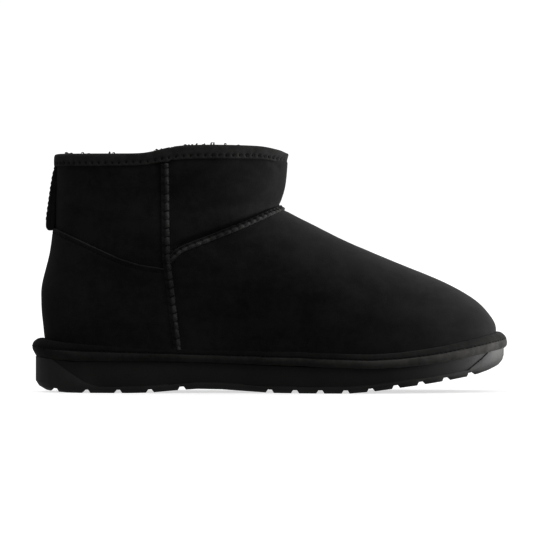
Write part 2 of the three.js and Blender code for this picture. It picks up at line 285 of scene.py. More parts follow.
def surface_of(o):
    mesh = o.data
    return BVHTree.FromPolygons([v.co for v in mesh.vertices], [list(p.vertices) for p in mesh.polygons])


def side_path(surface, line, side, low, high, step=1 * MM):
    """Points up one side of the boot under a line. side is -1 on the outer side, 1 on the inner."""
    points = []
    for z in np.arange(low, high, step):
        hit = surface.ray_cast(Vector((line_x(line, z), side * BESIDE, z)), Vector((0, -side, 0)))[0]
        if hit:
            points.append(hit)
    return points


def round_path(surface, height_at, centre, first, last, count=240):
    """Points round the boot at the height that height_at gives for a place.

    Angles are in degrees from +X. A height depends on its place, so each point is found in six steps.
    """
    points = []
    for turn in np.radians(np.linspace(first, last, count)):
        way = Vector((math.cos(turn), math.sin(turn), 0))
        hit = Vector((centre, 0, 0)) + way * 40 * MM
        for _ in range(6):
            start = Vector((centre, 0, height_at(hit))) + way * RAY
            found = surface.ray_cast(start, -way, RAY)[0]
            if found is None:
                break
            hit = found
        else:
            points.append(hit)
    return points


def stations(points, pitch, start=0.5):
    """Evenly spaced places along a path, as (point, direction) pairs.

    start is the first one's distance from the path's end, as a share of the pitch.
    """
    steps = [(b - a).length for a, b in zip(points, points[1:])]
    along = np.concatenate([[0], np.cumsum(steps)])
    co = np.array(points)

    def at(marks):
        return np.stack([np.interp(marks, along, co[:, k]) for k in range(3)], 1)

    marks = np.arange(start * pitch, along[-1], pitch)
    ways = at(marks + AHEAD) - at(marks - AHEAD)
    return [(Vector(p), Vector(way).normalized()) for p, way in zip(at(marks), ways)]


def evened(vectors, reach):
    """Each vector averaged with its neighbours, reach of them on each side."""
    rows = np.array(vectors)
    return [Vector(rows[max(k - reach, 0):k + reach + 1].mean(0)) for k in range(len(rows))]


def frames(surface, places, slant=0.0, lift=0.0, steady=0):
    """A matrix at each place: X along the path, Z out of the surface, turned by slant about Z.

    steady is how many neighbours on each side a place is evened out with.
    """
    nearest = [surface.find_nearest(point)[:2] for point, _ in places]
    spots = evened([at for at, _ in nearest], steady // 2)
    normals = evened([out for _, out in nearest], steady)
    ways = evened([way for _, way in places], steady // 2)
    found = []
    for at, out, way in zip(spots, normals, ways):
        out.normalize()
        across = out.cross(way).normalized()
        way = across.cross(out)
        turn = Matrix((way, across, out)).transposed().to_4x4()
        found.append(Matrix.Translation(at + out * lift) @ turn @ Matrix.Rotation(slant, 4, "Z"))
    return found


def sweep(name, rings, closed):
    """A skin over rings of points. Each ring is closed, and closed joins the last ring to the first.

    Its UV map runs along the path in U, one unit to a ring, and round the section in V, from 0 to 1.
    """
    n = len(rings[0])
    count = len(rings)
    faces = []
    for i in range(count if closed else count - 1):
        near, far = i * n, (i + 1) % count * n
        for k in range(n):
            m = (k + 1) % n
            faces.append((near + k, far + k, far + m, near + m))
    if not closed:
        faces += [tuple(range(n)), tuple(range((count - 1) * n, count * n))]
    mesh = bpy.data.meshes.new(name)
    mesh.from_pydata([p for ring in rings for p in ring], [], faces)
    round_and_along = mesh.uv_layers.new(name="sweep").data
    for face in mesh.polygons[:(count if closed else count - 1) * n]:
        i, k = divmod(face.index, n)
        corners = ((i, k), (i + 1, k), (i + 1, k + 1), (i, k + 1))
        for loop, (u, v) in zip(face.loop_indices, corners):
            round_and_along[loop].uv = (u, v / n)
    o = bpy.data.objects.new(name, mesh)
    bpy.context.scene.collection.objects.link(o)
    edit(o)
    bpy.ops.mesh.select_all(action="SELECT")
    bpy.ops.mesh.normals_make_consistent(inside=False)
    leave()
    return o


def copies(model, name, places):
    """One joined mesh with a copy of the model at each matrix. The model is removed."""
    made = []
    for place in places:
        o = twin(model, name)
        o.data.transform(place)
        made.append(o)
    bpy.data.objects.remove(model)
    only(*made[1:], made[0])
    bpy.ops.object.join()
    o = bpy.context.object
    o.name = name
    o.data.name = name
    return o


# ---------------------------------------------------------------- finishes

def material(name, colour, roughness):
    m = bpy.data.materials.new(name)
    m.use_nodes = True
    shader = m.node_tree.nodes["Principled BSDF"]
    shader.inputs["Base Color"].default_value = (*colour, 1)
    shader.inputs["Roughness"].default_value = roughness
    return m, m.node_tree, shader


def own_place(tree):
    """The place on the piece, in metres."""
    return tree.nodes.new("ShaderNodeTexCoord").outputs["Object"]


def noise_over(tree, place, scale, detail, distortion=0.0):
    texture = tree.nodes.new("ShaderNodeTexNoise")
    texture.inputs["Scale"].default_value = scale
    texture.inputs["Detail"].default_value = detail
    texture.inputs["Distortion"].default_value = distortion
    tree.links.new(place, texture.inputs["Vector"])
    return texture.outputs["Fac"]


def plus(tree, rest, value, share):
    """The rest, plus share times the value."""
    node = tree.nodes.new("ShaderNodeMath")
    node.operation = "MULTIPLY_ADD"
    tree.links.new(value, node.inputs[0])
    node.inputs[1].default_value = share
    tree.links.new(rest, node.inputs[2])
    return node.outputs["Value"]


def times(tree, colour, other):
    node = tree.nodes.new("ShaderNodeVectorMath")
    node.operation = "MULTIPLY"
    tree.links.new(colour, node.inputs[0])
    tree.links.new(other, node.inputs[1])
    return node.outputs["Vector"]


def ramp_over(tree, value, stops):
    """A colour for the value, from (value, colour) stops."""
    node = tree.nodes.new("ShaderNodeValToRGB")
    elements = node.color_ramp.elements
    while len(elements) < len(stops):
        elements.new(0.5)
    for element, (place, colour) in zip(elements, stops):
        element.position = place
        element.color = (*colour, 1)
    tree.links.new(value, node.inputs["Fac"])
    return node.outputs["Color"]


def relief(tree, shader, height, strength, depth):
    """Grain on the surface that is too fine to model."""
    bump = tree.nodes.new("ShaderNodeBump")
    bump.inputs["Strength"].default_value = strength
    bump.inputs["Distance"].default_value = depth
    tree.links.new(height, bump.inputs["Height"])
    tree.links.new(bump.outputs["Normal"], shader.inputs["Normal"])


def suede_finish(name, dark, light, sheen):
    m, tree, shader = material(name, dark, 0.95)
    shader.inputs["Specular IOR Level"].default_value = 0.05
    shader.inputs["Sheen Weight"].default_value = sheen
    shader.inputs["Sheen Roughness"].default_value = 0.5
    shader.inputs["Sheen Tint"].default_value = (1.0, 0.99, 0.98, 1)
    place = own_place(tree)
    brushed = noise_over(tree, place, 38, 5, 0.8)  # where the nap has been stroked one way or the other
    mottle = noise_over(tree, place, 260, 4, 0.5)  # tufts of fibre that lie together
    fibre = noise_over(tree, place, 1500, 2)
    lie = tree.nodes.new("ShaderNodeMapping")  # strokes of the nap, drawn out down the slope of the foot
    lie.inputs["Rotation"].default_value = (0, math.radians(28), 0)
    lie.inputs["Scale"].default_value = (16, 22, 62)
    tree.links.new(place, lie.inputs["Vector"])
    strokes = noise_over(tree, lie.outputs["Vector"], 1, 4, 1.2)
    nap = plus(tree, brushed, mottle, 0.7)
    nap = plus(tree, nap, strokes, 0.7)
    nap = plus(tree, nap, fibre, 0.45)
    share = tree.nodes.new("ShaderNodeMath")  # brings the sum back to the middle of the ramp
    share.operation = "MULTIPLY"
    tree.links.new(nap, share.inputs[0])
    share.inputs[1].default_value = 0.38
    colour = ramp_over(tree, share.outputs["Value"], [(0.45, dark), (0.62, light)])
    tree.links.new(colour, shader.inputs["Base Color"])
    relief(tree, shader, fibre, 0.35, 0.25 * MM)
    return m


def foam_finish(name, dark, light):
    m, tree, shader = material(name, light, 0.7)
    shader.inputs["Specular IOR Level"].default_value = 0.12
    place = own_place(tree)
    cells = noise_over(tree, place, 900, 3)
    relief(tree, shader, cells, 0.25, 0.2 * MM)
    scuffs = noise_over(tree, place, 60, 6)
    colour = ramp_over(tree, scuffs, [(0.35, dark), (0.75, light)])
    layer = tree.nodes.new("ShaderNodeAttribute")
    layer.attribute_name = "bottom_layer_painted_light"
    floor_bounce_painted = tree.nodes.new("ShaderNodeMath")  # painted light: the bottom layer is brightened as if lit by light bounced up from the floor
    floor_bounce_painted.operation = "MULTIPLY_ADD"
    tree.links.new(layer.outputs["Fac"], floor_bounce_painted.inputs[0])
    floor_bounce_painted.inputs[1].default_value = 2.2
    floor_bounce_painted.inputs[2].default_value = 1.0
    tone = tree.nodes.new("ShaderNodeVectorMath")
    tone.operation = "SCALE"
    tree.links.new(colour, tone.inputs[0])
    tree.links.new(floor_bounce_painted.outputs["Value"], tone.inputs["Scale"])
    tree.links.new(tone.outputs["Vector"], shader.inputs["Base Color"])
    return m


def thread_finish(name, colour):
    m, tree, shader = material(name, colour, 0.7)
    shader.inputs["Specular IOR Level"].default_value = 0.05
    twist = tree.nodes.new("ShaderNodeTexWave")
    twist.inputs["Scale"].default_value = 900
    tree.links.new(own_place(tree), twist.inputs["Vector"])
    relief(tree, shader, twist.outputs["Fac"], 0.4, 0.1 * MM)
    return m


def fleece_finish(name, dark, light):
    m, tree, shader = material(name, light, 0.85)
    shader.inputs["Sheen Weight"].default_value = 0.1
    shader.inputs["Sheen Roughness"].default_value = 0.4
    wool = noise_over(tree, own_place(tree), 420, 4, 2.5)
    colour = ramp_over(tree, wool, [(0.35, dark), (0.7, light)])
    tree.links.new(colour, shader.inputs["Base Color"])
    relief(tree, shader, wool, 0.9, 0.8 * MM)
    return m


def greys(stops):
    return [(place, (tone, tone, tone)) for place, tone in stops]


def paint_light_and_shade(m, bands, along=((0, 1.0), (1, 1.0))):
    """Paints light and shade into the suede of a swept piece.

    bands are pairs of a share of the way round its section, and a brightness: painted shade where it lies in
    shadow. along are pairs of a share of the way from heel to toe, and a brightness: painted light from the
    lamp.
    """
    tree = m.node_tree
    shader = tree.nodes["Principled BSDF"]
    plain = shader.inputs["Base Color"].links[0].from_socket
    section = tree.nodes.new("ShaderNodeUVMap")
    section.uv_map = "sweep"
    split = tree.nodes.new("ShaderNodeSeparateXYZ")
    tree.links.new(section.outputs["UV"], split.inputs["Vector"])
    # painted shade round the section
    across = ramp_over(tree, split.outputs["Y"], greys(bands))
    length = tree.nodes.new("ShaderNodeSeparateXYZ")
    tree.links.new(own_place(tree), length.inputs["Vector"])
    share = tree.nodes.new("ShaderNodeMapRange")
    share.inputs["From Min"].default_value = HEEL
    share.inputs["From Max"].default_value = TOE
    tree.links.new(length.outputs["X"], share.inputs["Value"])
    # painted light along the boot
    painted_light_lengthways = ramp_over(tree, share.outputs["Result"], greys(along))
    painted_tone = times(tree, plain, times(tree, across, painted_light_lengthways))
    tree.links.new(painted_tone, shader.inputs["Base Color"])
    return m


SUEDE = suede_finish("black suede", (0.0024, 0.0024, 0.0024), (0.0052, 0.0052, 0.0052), 0.015)
RAND_SUEDE = suede_finish("rand suede", (0.0068, 0.0067, 0.0065), (0.0160, 0.0156, 0.0150), 0.015)
# painted shade darkens the rand's upper lip above its groove; painted light makes it darker towards the heel
# and lighter towards the toe
paint_light_and_shade(
    RAND_SUEDE,
    bands=[(0.42, 1.0), (0.47, 0.28), (0.54, 0.3), (0.9, 0.26)],
    along=[(0.45, 0.6), (0.65, 0.9), (0.85, 1.5)],
)
# the crest is lighter, partly as a rubbed edge of the suede and partly as a painted highlight; painted shade
# darkens the lip in the groove beside it
SIDE_SEAM_SUEDE = suede_finish("side seam suede", (0.0070, 0.0070, 0.0070), (0.0190, 0.0188, 0.0185), 0.02)
paint_light_and_shade(SIDE_SEAM_SUEDE, [(0.3, 0.35), (0.4, 0.5), (0.46, 1.0), (0.8, 1.0)])
# the crest is lighter, partly as a rubbed edge of the suede and partly as a painted highlight; painted shade
# darkens the lip beside the shadow above it
VAMP_SEAM_SUEDE = suede_finish("vamp seam suede", (0.0078, 0.0078, 0.0078), (0.0210, 0.0208, 0.0205), 0.02)
paint_light_and_shade(VAMP_SEAM_SUEDE, [(0.15, 1.0), (0.38, 1.0), (0.46, 0.35), (0.8, 0.3)])
BINDING = suede_finish("binding suede", (0.0054, 0.0054, 0.0053), (0.0122, 0.0121, 0.0119), 0.015)
FOAM = foam_finish("sole foam", (0.0024, 0.0024, 0.0024), (0.0040, 0.0039, 0.0037))
THREAD = thread_finish("waxed thread", (0.0022, 0.0022, 0.0022))
FLEECE = fleece_finish("black fleece", (0.004, 0.0038, 0.0038), (0.012, 0.0113, 0.011))


# ---------------------------------------------------------------- camera, floor and light

# The camera: degrees above level, lens in mm, and in metres the width that it sees and where it looks.
SHOT = {"lift": 0.4, "lens": 450.0, "width": 0.3175, "centre": (0.0, 0.0, 0.0715)}
FLOOR_SIZE = 40


def camera():
    data = bpy.data.cameras.new("camera")
    data.lens = SHOT["lens"]
    data.sensor_width = 36
    data.clip_start = 0.05
    o = bpy.data.objects.new("camera", data)
    bpy.context.scene.collection.objects.link(o)
    centre = Vector(SHOT["centre"])
    distance = SHOT["width"] * SHOT["lens"] / data.sensor_width
    lift = math.radians(SHOT["lift"])
    o.location = centre + distance * Vector((0, -math.cos(lift), math.sin(lift)))
    o.rotation_euler = (centre - o.location).to_track_quat("-Z", "Y").to_euler()
    bpy.context.scene.camera = o


def stage():
    bpy.ops.mesh.primitive_plane_add(size=FLOOR_SIZE, location=(0, 0, 0))
    floor = bpy.context.object
    floor.name = "studio_floor"
    m, tree, shader = material("studio white", (0.4, 0.4, 0.4), 0.9)
    shader.inputs["Specular IOR Level"].default_value = 0.1
    shader.inputs["Emission Color"].default_value = (1, 1, 1, 1)
    shader.inputs["Emission Strength"].default_value = 0.7
    floor.data.materials.append(m)
    world = bpy.data.worlds.new("studio")
    world.use_nodes = True
    world.node_tree.nodes["Background"].inputs["Color"].default_value = (1.0, 1.0, 1.0, 1)
    world.node_tree.nodes["Background"].inputs["Strength"].default_value = 1.05
    bpy.context.scene.world = world
    return floor


def softbox(name, at, aim, size, power):
    data = bpy.data.lights.new(name, "AREA")
    data.shape = "RECTANGLE"
    data.size, data.size_y = size
    data.energy = power
    o = bpy.data.objects.new(name, data)
    bpy.context.scene.collection.objects.link(o)
    o.location = at
    o.rotation_euler = (Vector(aim) - Vector(at)).to_track_quat("-Z", "Y").to_euler()
    return o


def spare(light, floor):
    """The light leaves the floor alone, so it casts no shadow there."""
    unlit = bpy.data.collections.new("unlit by " + light.name)
    unlit.objects.link(floor)
    unlit.collection_objects[0].light_linking.link_state = "EXCLUDE"
    light.light_linking.receiver_collection = unlit


camera()
floor = stage()
key = softbox("key", at=(0.55, 0.09, 0.095), aim=(0.14, 0, 0.03), size=(0.25, 0.2), power=14.5)
top = softbox("top", at=(0.25, -0.40, 0.95), aim=(0.03, 0, 0.08), size=(0.6, 0.5), power=16)
spare(key, floor)
spare(top, floor)
bpy.context.scene.view_settings.view_transform = "Standard"
bpy.context.scene.view_settings.gamma = 0.8


# ---------------------------------------------------------------- the upper

def shells():
    """The outer and the inner face of the upper, as two open sheets: its two rims are deleted."""
    o = merged_copy("upper", "shells", pair=False)
    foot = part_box("upper")[0].z + 13 * MM
    collar_rim = TOP - 12 * MM
    edit(o)
    pick_faces(o, lambda c, n: abs(n.z) > 0.9 and (c.z > collar_rim or (n.z < 0 and c.z < foot)))
    bpy.ops.mesh.delete(type="FACE")
    leave()
    outer, inner = loose_parts(o)[:2]
    outer.name = "hide"
    inner.name = "lining"
    return outer, inner


def seam_distance(p):
    """How far in front of the side seam a point is."""
    return p.x - line_x(SIDE_SEAM, p.z)


def vamp_rise(p):
    """How far a point is above the plane of the seam over the instep."""
    (x0, z0), (x1, z1) = VAMP_SEAM
    run = math.hypot(x1 - x0, z1 - z0)
    return ((p.z - z0 * MM) * (x1 - x0) - (p.x - HEEL - x0 * MM) * (z1 - z0)) / run


# How far the hide dips behind and before the side seam, and above and below the seam over the instep.
SIDE_TUCK = 1.7 * MM
FRONT_TUCK = 0.6 * MM
VAMP_TUCK = 2.6 * MM
INSTEP_TUCK = 0.5 * MM
COLLAR_TUCK = 1.3 * MM  # how much thinner it gets under the front of the binding
WEAR = 0.6 * MM  # how uneven it is all over

# Soft troughs (-) and ridges (+), in mm: their ends as seen from the side, half-width and depth.
# side is -1 on the outer side of the foot, 1 on the inner.
CREASES = [
    {"from": (118, 60), "to": (146, 84), "half": 9, "depth": -0.6, "side": -1},
    {"from": (132, 52), "to": (158, 72), "half": 8, "depth": 0.5, "side": -1},
    {"from": (160, 44), "to": (186, 66), "half": 10, "depth": -0.5, "side": -1},
    {"from": (176, 40), "to": (204, 58), "half": 9, "depth": 0.35, "side": -1},
    {"from": (96, 40), "to": (112, 66), "half": 10, "depth": -0.5, "side": -1},
    {"from": (100, 110), "to": (128, 118), "half": 9, "depth": -0.4, "side": -1},
    {"from": (30, 104), "to": (62, 112), "half": 10, "depth": -0.4, "side": -1},
    {"from": (139.5, 136.5), "to": (144.5, 132), "half": 2.6, "depth": -0.7, "side": -1},
    {"from": (116, 58), "to": (148, 80), "half": 10, "depth": -0.8, "side": 1},
    {"from": (134, 50), "to": (164, 70), "half": 9, "depth": 0.5, "side": 1},
    {"from": (164, 46), "to": (192, 62), "half": 9, "depth": -0.5, "side": 1},
    {"from": (94, 112), "to": (126, 122), "half": 9, "depth": -0.5, "side": 1},
]


def off_segment(p, start, end):
    """Distance, in the side view, from a point to the segment between two places."""
    a = Vector((HEEL + start[0] * MM, start[1] * MM))
    b = Vector((HEEL + end[0] * MM, end[1] * MM))
    q = Vector((p.x, p.z))
    t = min(max((q - a).dot(b - a) / (b - a).length_squared, 0), 1)
    return (q - a - (b - a) * t).length


def shape_hide(hide):
    """The worn shape of the hide: it dips into its seams, swells between them and creases softly."""
    for shift in (-6.5, -4.5, -3.2, -2.4, 2.4, 3.2, 4.5, 6.5):
        score(hide, SIDE_SEAM, shift * MM)
    for shift in (-5, -3.8, -1.8, 0.8, 1.7, 2.6, 3.6, 5, 8):
        score(hide, VAMP_SEAM, shift * MM, lambda c: seam_distance(c) > -3 * MM)

    def behind_side_seam(p):
        gap = -seam_distance(p)
        return 1 - blend(gap, 4 * MM, 8 * MM) if gap > 0 else 0

    def before_side_seam(p):
        gap = seam_distance(p)
        return 1 - blend(gap, 2.2 * MM, 6 * MM) if gap > 0 else 0

    def above_vamp_seam(p):
        rise = vamp_rise(p)
        if rise < -0.5 * MM or seam_distance(p) < 0:
            return 0
        dip = 0.75 * (1 - blend(rise, 1 * MM, 4.4 * MM)) + 0.25 * (1 - blend(rise, 1 * MM, 11 * MM))
        in_front = blend(p.x - HEEL, 136 * MM, 146 * MM)
        return dip * blend(seam_distance(p), 0, 8 * MM) * (1 - 0.5 * in_front)

    def below_vamp_seam(p):
        rise = vamp_rise(p)
        if rise > 0.5 * MM or seam_distance(p) < 0:
            return 0
        return 1 - blend(-rise, 1.5 * MM, 5 * MM)

    def under_collar(p):
        """In front, the hide thins out under the binding."""
        return blend(p.x - HEEL, 130 * MM, 144 * MM) * blend(p.z, 134 * MM, 137.5 * MM)

    press(hide, -SIDE_TUCK, behind_side_seam)
    press(hide, -FRONT_TUCK, before_side_seam)
    press(hide, -VAMP_TUCK, above_vamp_seam)
    press(hide, -COLLAR_TUCK, under_collar)
    press(hide, -INSTEP_TUCK, below_vamp_seam)
    for crease in CREASES:
        def in_crease(p):
            if p.y * crease["side"] <= 0:
                return 0
            return bell(off_segment(p, crease["from"], crease["to"]), crease["half"] * MM)

        press(hide, crease["depth"] * MM, in_crease)
    press(hide, WEAR, lambda p: 0.5 + 0.5 * noise.noise(p * 34) + 0.12 * noise.noise(p * 130))


def hide_panels(hide):
    """The quarters, the front of the shaft and the vamp, which meet under the raised seams."""
    score(hide, SIDE_SEAM)
    score(hide, VAMP_SEAM, where=lambda c: seam_distance(c) > 0)
    quarters = trim(twin(hide, "quarters"), lambda c: seam_distance(c) < 0)
    front = trim(twin(hide, "shaft_front"), lambda c: seam_distance(c) > 0 and vamp_rise(c) > 0)
    vamp = trim(twin(hide, "vamp"), lambda c: seam_distance(c) > 0 and vamp_rise(c) < 0)
    for panel in (quarters, front, vamp):
        apply(panel, "SOLIDIFY", thickness=HIDE, offset=-1)
        smooth(panel)
        finish_piece(panel, SUEDE, "suede", "upper")


# Sections of the raised seams: mm across the seam, mm above the hide. A low lip lies along a high crest.
SIDE_SECTION = [
    (-3.6, -2.6), (-3.4, -0.1), (-2.9, 0.6), (-2.3, 0.8), (-1.6, 0.7), (-1.15, 1.0), (-0.7, 1.7),
    (-0.15, 2.2), (0.4, 2.1), (0.85, 1.4), (1.2, 0.5), (1.4, -0.3), (1.7, -1.6),
]
VAMP_SECTION = [
    (-3.8, -1.6), (-3.5, 0.3), (-3.1, 1.2), (-2.6, 1.7), (-2.0, 1.75), (-1.45, 1.3), (-1.05, 0.8),
    (-0.65, 0.65), (-0.25, 0.7), (0.05, 0.6), (0.3, 0.0), (0.6, -1.2), (0.8, -3.4),
]
SINK = 2.5 * MM  # within this length, the ends of a seam dive under the piece they meet
DIVE = 2.4  # how deep they get, in mm
RIDGE_STEP = 0.5 * MM
PINCH = 0.45  # the share of its height that a ridge loses at a stitch
UNEVEN = 0.2  # how much its height and its stitches wander
HOLE = {"depth": 0.6, "half": 0.9}  # the hole at a stitch, in mm
SIDE_PITCH = 5 * MM
VAMP_PITCH = 4.5 * MM


def raised_seam(name, surface, path, section, hole, pitch, flip=1):
    """The raised edge of a seam: its section carried along a path.

    Each stitch pinches it, and leaves a hole that is so many mm across the seam. flip mirrors the section.
    """
    rings = []
    places = frames(surface, stations(path, RIDGE_STEP, 0), steady=16)
    for k, place in enumerate(places):
        uneven = noise.noise(place.translation * 180)
        pinch = (0.5 + 0.5 * math.cos(2 * math.pi * (k * RIDGE_STEP / pitch + UNEVEN * uneven))) ** 2
        sunk = DIVE * bell(min(k, len(places) - 1 - k) * RIDGE_STEP, SINK)
        ring = []
        for across, height in section:
            crest = (PINCH * pinch + UNEVEN * uneven) * max(height, 0)
            dent = HOLE["depth"] * pinch * bell(across - hole, HOLE["half"])
            ring.append(place @ (Vector((0, flip * across, height - crest - dent - sunk)) * MM))
        rings.append(ring)
    return smooth(refine(sweep(name, rings, closed=False), 1))


def arch_stitch(half, height, thick):
    """A stitch over a ridge: half a flattened ring of thread across it."""
    bpy.ops.mesh.primitive_torus_add(
        major_radius=half,
        minor_radius=thick / 2,
        major_segments=14,
        minor_segments=6,
        rotation=(0, math.pi / 2, 0),
    )
    o = bpy.context.object
    bpy.ops.object.transform_apply(location=False, rotation=True, scale=False)
    edit(o)
    bpy.ops.mesh.select_all(action="SELECT")
    bpy.ops.transform.resize(value=(1, 1, height / half))
    bpy.ops.mesh.bisect(plane_co=(0, 0, -0.3 * MM), plane_no=(0, 0, 1), clear_inner=True, use_fill=True)
    leave()
    return smooth(o)


def flat_stitch(length, thick):
    """A running stitch: a short thread that tapers down into the hide at both ends."""
    bpy.ops.mesh.primitive_uv_sphere_add(segments=8, ring_count=6, radius=1, rotation=(0, math.pi / 2, 0))
    o = bpy.context.object
    bpy.ops.object.transform_apply(location=False, rotation=True, scale=False)
    edit(o)
    bpy.ops.mesh.select_all(action="SELECT")
    bpy.ops.transform.resize(value=(length / 2, thick / 2, thick / 2))
    leave()
    return smooth(o)


def side_seams(surface):
    """The raised seams up both sides of the boot, with their stitches."""
    behind_rand = 22 * MM
    under_binding = TOP - 7.6 * MM
    for side, word in ((-1, "outer"), (1, "inner")):
        path = side_path(surface, SIDE_SEAM, side, behind_rand, under_binding)
        ridge = raised_seam("side_seam_" + word, surface, path, SIDE_SECTION, -2.1, SIDE_PITCH, side)
        finish_piece(ridge, SIDE_SEAM_SUEDE, "suede")
        places = frames(surface, stations(path, SIDE_PITCH, 1.0), slant=-0.3 * side)
        stitch = arch_stitch(half=1.45 * MM, height=1.15 * MM, thick=0.6 * MM)
        row = copies(stitch, "side_stitches_" + word, places)
        finish_piece(row, THREAD, "thread")


def vamp_seam(surface):
    """The raised seam over the instep, from the side seam on one side round to the one on the other."""
    def height(p):
        """Its height at a place: it hooks down to the side seams, and lifts a little in front."""
        hook = 1 - blend(seam_distance(p), 0, 9 * MM)
        lift = blend(p.x - HEEL, 120 * MM, 150 * MM)
        return line_z(VAMP_SEAM, p.x) - 4 * MM * hook * hook + 1.3 * MM * lift

    path = round_path(surface, height, HEEL + 115 * MM, -140, 140)
    path = [p for p in path if seam_distance(p) > -4.5 * MM]
    ridge = raised_seam("vamp_seam", surface, path, VAMP_SECTION, -0.8, VAMP_PITCH)
    finish_piece(ridge, VAMP_SEAM_SUEDE, "suede")
    places = frames(surface, stations(path, VAMP_PITCH, 1.0), slant=0.5, steady=1)
    places = [place for place in places if seam_distance(place.translation) > 2.5 * MM]
    crest = Matrix.Translation((0, -2.3 * MM, 0))
    stitch = arch_stitch(half=1.15 * MM, height=1.05 * MM, thick=0.45 * MM)
    row = copies(stitch, "vamp_stitches", [place @ crest for place in places])
    finish_piece(row, THREAD, "thread")
    edge = Matrix.Translation((1.5 * MM, -4.8 * MM, 0.1 * MM))
    stitch = flat_stitch(length=1.9 * MM, thick=0.5 * MM)
    row = copies(stitch, "vamp_edge_stitches", [place @ edge for place in places])
    finish_piece(row, THREAD, "thread")


# Section of the counter's cut edge, turned up a little: mm across, mm above the counter.
COUNTER_LIP = [(-0.55, -0.4), (-0.45, 0.1), (-0.1, 0.3), (0.3, 0.25), (0.6, -0.05), (0.65, -0.5)]
COUNTER_THICK = 1.1 * MM
COUNTER_ROW = 2.7 * MM  # how far its stitches are below its edge
COUNTER_PITCH = 3.1 * MM
COUNTER_REACH = (296, 64)  # from one side seam round the heel to the other, in degrees from +X


def heel_counter(hide):
    """The counter: a panel of the hide's back, lifted off it, with a stitched and cut upper edge."""
    o = twin(hide, "heel_counter_panel")
    trim(o, lambda c: seam_distance(c) < 0 and c.z < line_z(COUNTER_EDGE, c.x) + 5 * MM)
    for shift in (0, -0.9, -1.9, -2.7, -3.5, -4.6):
        score(o, COUNTER_EDGE, shift * MM)
    trim(o, lambda c: c.z < line_z(COUNTER_EDGE, c.x))

    def below_edge(p):
        return line_z(COUNTER_EDGE, p.x) - p.z

    def round_at(drop):
        """A path round the counter, this far below its edge."""
        centre = HEEL + 60 * MM
        return round_path(surface, lambda p: line_z(COUNTER_EDGE, p.x) - drop, centre, *COUNTER_REACH)

    press(o, 0.15 * MM, lambda p: 1)
    press(o, -0.35 * MM, lambda p: bell(below_edge(p) - COUNTER_ROW, 1.3 * MM))
    apply(o, "SOLIDIFY", thickness=COUNTER_THICK, offset=1)
    apply(o, "BEVEL", width=0.3 * MM, segments=2, limit_method="ANGLE", angle_limit=math.radians(60))
    smooth(o, 45)
    finish_piece(o, SUEDE, "suede", "heel_counter")
    surface = surface_of(o)
    places = frames(surface, stations(round_at(COUNTER_ROW), COUNTER_PITCH))
    row = copies(flat_stitch(length=2.3 * MM, thick=0.7 * MM), "counter_stitches", places)
    finish_piece(row, THREAD, "thread")
    rings = [
        [place @ (Vector((0, across, height)) * MM) for across, height in COUNTER_LIP]
        for place in frames(surface, stations(round_at(0.5 * MM), 1 * MM, 0), steady=3)
    ]
    lip = smooth(refine(sweep("counter_cut_edge", rings, closed=False), 1))
    finish_piece(lip, BINDING, "suede")


# ---------------------------------------------------------------- collar

COLLAR_CENTRE = HEEL + 80 * MM
COLLAR_PITCH = 4.3 * MM
COLLAR_ROW = 1.7 * MM  # how far the stitches are above the binding's lower edge
COLLAR_PIT = {"radius": 1.8 * MM, "depth": 0.8 * MM}  # the pit that a stitch pulls in


def collar():
    """The folded binding with its row of pulled-in stitches. Returns the binding."""
    o = refine(merged_copy("collar_binding", "collar_binding_strip"), 3)
    surface = surface_of(o)
    turns = list(range(0, 361, 3))
    lowest = []
    for turn in turns:
        way = Vector((math.cos(math.radians(turn)), math.sin(math.radians(turn)), 0))
        z = TOP - 18 * MM
        while surface.ray_cast(Vector((COLLAR_CENTRE, 0, z)) + way * RAY, -way, RAY)[0] is None:
            z += 0.4 * MM
        lowest.append(z)

    def above_edge(p):
        turn = math.degrees(math.atan2(p.y, p.x - COLLAR_CENTRE)) % 360
        return p.z - float(np.interp(turn, turns, lowest))

    def tucked(p):
        """In front, the lower edge is drawn in until it lies level with the hide."""
        return blend(p.x - HEEL, 136 * MM, 146 * MM) * (1 - blend(above_edge(p), 1 * MM, 8 * MM))

    def front_corner(p):
        return blend(p.x - HEEL, 145.5 * MM, 151 * MM) * blend(above_edge(p), 4 * MM, 8 * MM)

    def over_side_seam(p):
        return bell(seam_distance(p), 3.5 * MM) * (1 - blend(above_edge(p), 3 * MM, 8 * MM))

    def beside_side_seam(p):
        return bell(seam_distance(p) - 3.2 * MM, 1.3 * MM)

    press(o, -1.3 * MM, tucked, "X")
    press(o, -1.2 * MM, front_corner, "Z")
    press(o, 0.9 * MM, lambda p: tucked(p) * blend(-p.y, 0, 15 * MM), "Y")
    press(o, -0.9 * MM, lambda p: tucked(p) * blend(p.y, 0, 15 * MM), "Y")
    press(o, 0.6 * MM, over_side_seam)
    press(o, -0.6 * MM, beside_side_seam)
    path = round_path(surface_of(o), lambda p: p.z - above_edge(p) + COLLAR_ROW, COLLAR_CENTRE, 0, 359)
    places = stations(path, COLLAR_PITCH)
    dimple(o, [point for point, _ in places], COLLAR_PIT["radius"], COLLAR_PIT["depth"])
    smooth(o)
    finish_piece(o, BINDING, "binding", "collar_binding")
    stitch = flat_stitch(length=2.2 * MM, thick=0.9 * MM)
    row = copies(stitch, "collar_stitches", frames(surface_of(o), places, slant=1.1))
    finish_piece(row, THREAD, "thread")
    return o


# The line of the pull loop's strap: mm from the ground, mm out from the back of the hide.
# It comes out from under the binding, hangs down, and folds back up inside.
LOOP_LINE = [
    (136, -2.4), (133, -1.3), (131, -0.6), (127, 0.4), (120, 1.4), (113, 2.3), (106, 3.2), (101, 3.7),
    (98.0, 3.8), (96.7, 3.7), (95.9, 3.3), (95.7, 2.6), (95.9, 1.8), (96.6, 1.3), (98.0, 1.0), (101, 1.0),
    (106, 0.7), (116, 0.2), (126, -0.5),
]
STRAP_FACE = 1.3  # its outer face, in mm from the middle of its thickness
